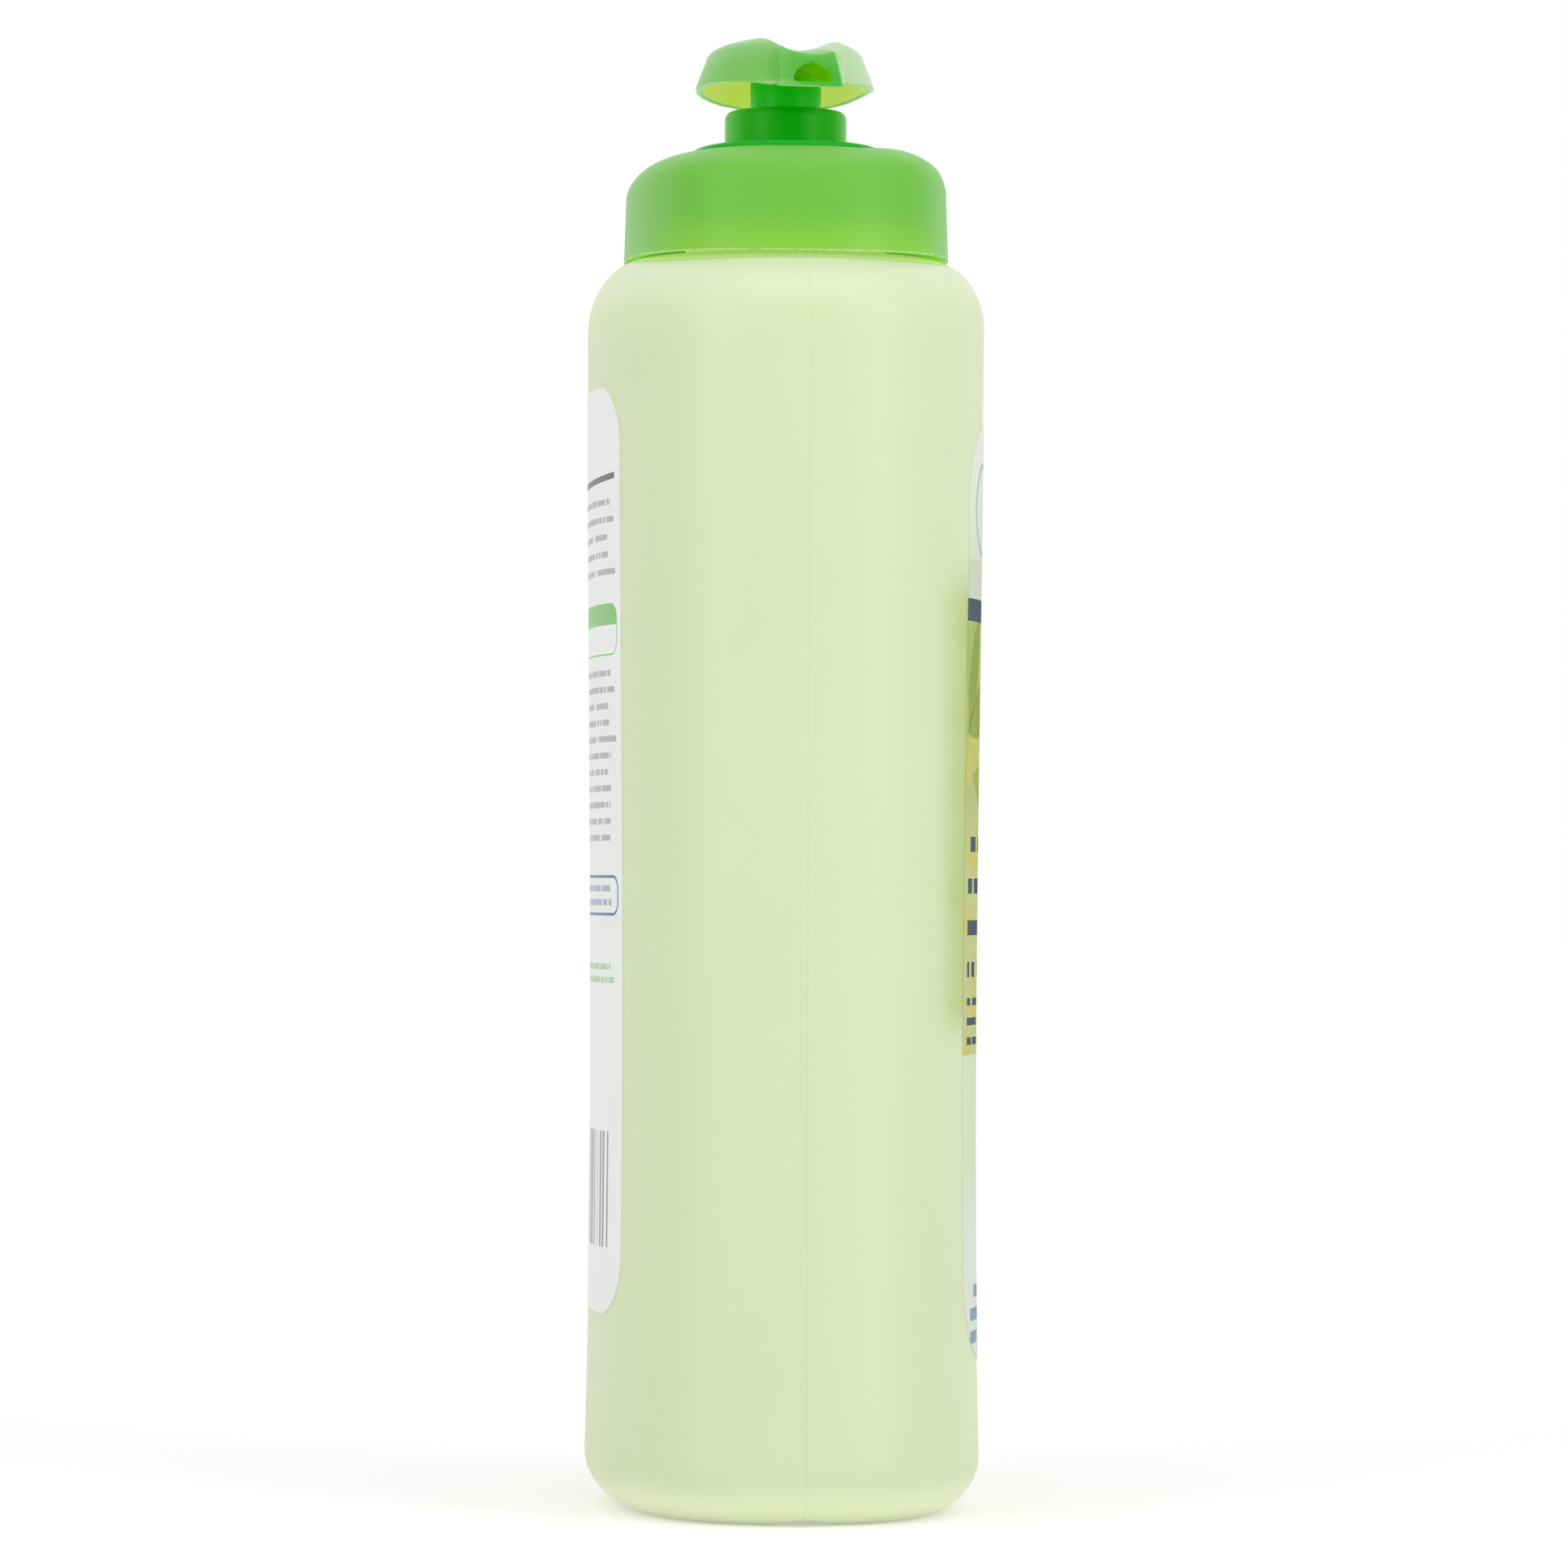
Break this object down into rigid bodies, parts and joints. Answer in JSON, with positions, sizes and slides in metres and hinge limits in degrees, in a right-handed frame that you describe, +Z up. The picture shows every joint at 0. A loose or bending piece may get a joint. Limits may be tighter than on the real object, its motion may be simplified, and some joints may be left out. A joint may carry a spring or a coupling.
{
  "type": "body lotion bottle",
  "caption": "Tall oval blow-moulded lotion bottle with a push-fit oval closure and a lock-down pump whose saddle head turns and travels.",
  "frame": {"origin": "centre of the bottle's base, on the surface that it stands on", "axes": "+Z up along the pump, X along the bottle's width, the front label faces -Y, the spout points to -X"},
  "size_m": [0.0861, 0.0634, 0.2358],
  "materials": {
    "bottle_resin": "satin blown polyethylene, tinted pale green, lets a little light through",
    "lotion": "thick white cream",
    "label_clear": "clear printed film",
    "label_white": "white printed film, satin",
    "closure_green": "satin moulded polypropylene, bright green, lets light through",
    "collar_green": "glossy moulded polypropylene, deep green",
    "head_green": "glossy thin moulded polypropylene, light green, lets light through",
    "pump_white": "plain moulded polypropylene",
    "pump_natural": "plain soft polyethylene",
    "gasket_foam": "soft polyethylene foam",
    "tube_clear": "clear extruded tube",
    "spring_steel": "drawn stainless wire",
    "ball_steel": "polished stainless ball"
  },
  "bodies": {
    "bottle_body": {"bottle": "bottle_resin", "lotion": "lotion", "front_label": "label_clear", "back_label": "label_white", "closure": "closure_green", "collar": "collar_green", "neck_gasket": "gasket_foam", "pump_housing": "pump_white", "ball_cage": "pump_natural", "dip_tube": "tube_clear", "spring": "spring_steel"},
    "piston_body": {"piston": "pump_natural"},
    "pump_head": {"head": "head_green", "stem": "pump_white"},
    "inlet_valve": {"inlet_ball": "ball_steel"},
    "outlet_valve": {"outlet_ball": "ball_steel"}
  },
  "joints": [
    {"name": "head_travel", "type": "slide", "parent": "bottle_body", "child": "piston_body", "axis": [0, 0, 1], "range_m": [0, 0.014], "deforming": ["spring"]},
    {"name": "head_swivel", "type": "hinge", "parent": "piston_body", "child": "pump_head", "pos_m": [0, 0, 0.206], "axis": [0, 0, 1], "continuous": true},
    {"name": "inlet_ball_lift", "type": "slide", "parent": "bottle_body", "child": "inlet_valve", "axis": [0, 0, 1], "range_m": [0, 0.0015]},
    {"name": "outlet_ball_lift", "type": "slide", "parent": "pump_head", "child": "outlet_valve", "axis": [0, 0, 1], "range_m": [0, 0.0015]}
  ]
}
